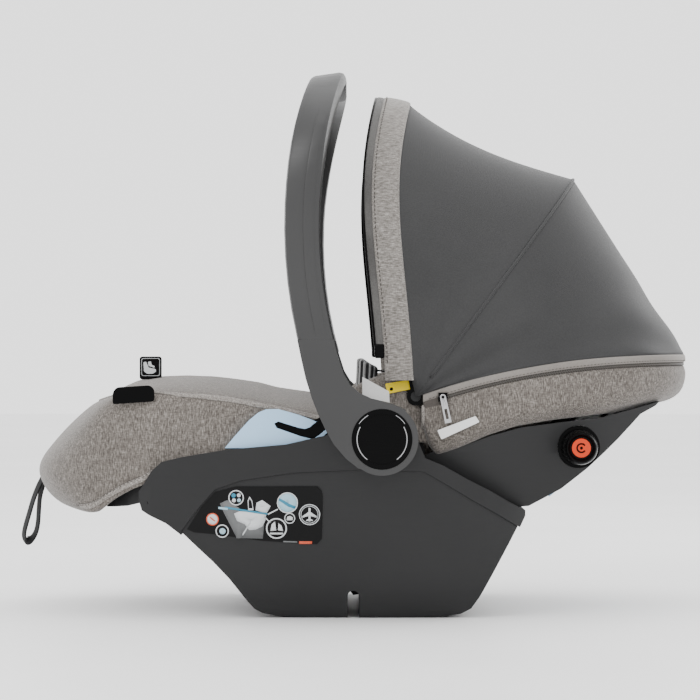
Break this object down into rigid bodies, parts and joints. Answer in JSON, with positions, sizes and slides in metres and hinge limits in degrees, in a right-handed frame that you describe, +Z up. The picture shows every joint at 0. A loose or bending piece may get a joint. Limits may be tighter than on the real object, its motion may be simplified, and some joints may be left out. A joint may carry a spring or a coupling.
{
  "type": "infant car seat",
  "caption": "Infant car seat with a swinging carry handle, folding canopy, reclining backrest, padded leg rest with foot cover and blue belt guides",
  "frame": {"origin": "floor level, under the middle of the overall length and width, pull loop included", "axes": "+X points to the head end, -Y to the side with the zip slider, +Z up"},
  "size_m": [0.6923, 0.4396, 0.5493],
  "materials": {
    "shell_plastic": "fine-grained moulded charcoal",
    "black_plastic": "satin black",
    "melange_fabric": "woven warm grey melange",
    "canopy_fabric": "smooth dark grey weave",
    "lining_fabric": "soft dark grey knit",
    "belt_guide_blue": "satin pale blue",
    "steel": "zinc plated",
    "foam": "expanded foam",
    "webbing": "black woven webbing",
    "label_white": "blank printed label",
    "zip_fabric": "light grey zip tape with binding",
    "chest_pad_fabric": "grey ribbed pad",
    "label_black": "blank black label",
    "badge_orange": "satin orange",
    "button_red": "satin red"
  },
  "bodies": {
    "base": {"lower_shell": "shell_plastic", "shell_collar": "shell_plastic", "seat_deck": "shell_plastic", "front_foam": "foam", "seat_pad": "lining_fabric", "side_cover": "melange_fabric", "apron_rear": "melange_fabric", "hub_pivot_left": "shell_plastic", "hub_pivot_right": "shell_plastic", "belt_guide_left": "belt_guide_blue", "belt_guide_right": "belt_guide_blue", "side_label_left": "label_black", "side_label_right": "label_black", "latch_shaft": "steel", "base_screws": "steel", "crotch_strap": "webbing", "buckle_housing": "black_plastic", "chest_pads": "chest_pad_fabric", "adjuster_housing": "black_plastic", "leg_hinge_pin": "steel"},
    "buckle_press": {"buckle_button": "button_red"},
    "adjuster_press": {"adjuster_button": "steel"},
    "latch": {"latch_hooks": "black_plastic"},
    "leg_rest": {"leg_shell": "shell_plastic", "leg_cover": "melange_fabric", "apron_front": "melange_fabric", "size_tag": "label_black", "name_label": "label_black", "pull_loop": "webbing"},
    "backrest": {"back_shell": "shell_plastic", "back_foam": "foam", "back_pad": "lining_fabric", "back_cover": "melange_fabric", "zip_tape": "zip_fabric", "zip_slider": "steel", "cover_patch": "label_white", "warning_labels": "label_white", "shoulder_straps": "webbing", "shoulder_belt_guide": "belt_guide_blue", "recline_brackets": "steel", "canopy_pivots": "shell_plastic", "pod_sockets": "black_plastic"},
    "zip_tag": {"zip_pull": "steel"},
    "head_support": {"headrest": "melange_fabric"},
    "lever": {"release_lever": "shell_plastic"},
    "pod_l": {"pod_left": "black_plastic", "pod_badge_left": "badge_orange"},
    "pod_r": {"pod_right": "black_plastic", "pod_badge_right": "badge_orange"},
    "handle": {"handle_frame": "shell_plastic", "handle_grip": "black_plastic", "button_spring_left": "steel", "button_spring_right": "steel"},
    "button_l": {"handle_button_left": "black_plastic"},
    "button_r": {"handle_button_right": "black_plastic"},
    "canopy_mid": {"canopy_mid_bow": "shell_plastic", "canopy_rear_panel": "canopy_fabric"},
    "canopy_front": {"canopy_front_bow": "shell_plastic", "canopy_front_panel": "canopy_fabric", "canopy_band": "melange_fabric"}
  },
  "joints": [
    {"name": "handle_swing", "type": "hinge", "parent": "base", "child": "handle", "pos_m": [0.028, 0, 0.181], "axis": [0, 1, 0], "range_deg": [-78, 112]},
    {"name": "handle_button_press_left", "type": "slide", "parent": "handle", "child": "button_l", "axis": [0, 1, 0], "range_m": [0, 0.0038], "stiffness_N_per_m": 900, "springref_m": -0.002, "deforming": ["button_spring_left"]},
    {"name": "handle_button_press_right", "type": "slide", "parent": "handle", "child": "button_r", "axis": [0, -1, 0], "range_m": [0, 0.0038], "stiffness_N_per_m": 900, "springref_m": -0.002, "deforming": ["button_spring_right"]},
    {"name": "back_recline", "type": "hinge", "parent": "base", "child": "backrest", "pos_m": [0.028, 0, 0.181], "axis": [0, 1, 0], "range_deg": [-14, 0]},
    {"name": "leg_rest_tilt", "type": "hinge", "parent": "base", "child": "leg_rest", "pos_m": [-0.202, 0, 0.117], "axis": [0, 1, 0], "range_deg": [-12, 0]},
    {"name": "canopy_fold", "type": "hinge", "parent": "backrest", "child": "canopy_mid", "pos_m": [0.062, 0, 0.222], "axis": [0, 1, 0], "range_deg": [0, 32], "deforming": ["canopy_rear_panel"]},
    {"name": "canopy_front_fold", "type": "hinge", "parent": "canopy_mid", "child": "canopy_front", "pos_m": [0.062, 0, 0.222], "axis": [0, 1, 0], "range_deg": [0, 28], "deforming": ["canopy_front_panel"]},
    {"name": "pod_slide_left", "type": "slide", "parent": "backrest", "child": "pod_l", "axis": [0, 1, 0], "range_m": [0, 0.025]},
    {"name": "pod_slide_right", "type": "slide", "parent": "backrest", "child": "pod_r", "axis": [0, -1, 0], "range_m": [0, 0.025]},
    {"name": "headrest_slide", "type": "slide", "parent": "backrest", "child": "head_support", "axis": [0.7716, 0, 0.6361], "range_m": [-0.02, 0.03]},
    {"name": "release_pull", "type": "slide", "parent": "backrest", "child": "lever", "axis": [0.7193, 0, 0.6947], "range_m": [0, 0.008], "stiffness_N_per_m": 600, "springref_m": -0.004},
    {"name": "latch_turn", "type": "hinge", "parent": "base", "child": "latch", "pos_m": [0.02, 0, 0.058], "axis": [0, 1, 0], "range_deg": [-25, 0]},
    {"name": "zip_tag_swing", "type": "hinge", "parent": "backrest", "child": "zip_tag", "pos_m": [0.0885, -0.1813, 0.2215], "axis": [0, 1, 0], "range_deg": [-40, 30]},
    {"name": "buckle_press_slide", "type": "slide", "parent": "base", "child": "buckle_press", "axis": [1, 0, 0], "range_m": [0, 0.003], "stiffness_N_per_m": 900, "springref_m": -0.002},
    {"name": "adjuster_press_slide", "type": "slide", "parent": "base", "child": "adjuster_press", "axis": [0, 0, -1], "range_m": [0, 0.003], "stiffness_N_per_m": 900, "springref_m": -0.002}
  ],
  "couplings": [
    {"joint": "leg_rest_tilt", "follows": "back_recline", "ratio": 0.85},
    {"joint": "canopy_front_fold", "follows": "canopy_fold", "ratio": 0.85},
    {"joint": "latch_turn", "follows": "release_pull", "rad_per_m": -54}
  ]
}
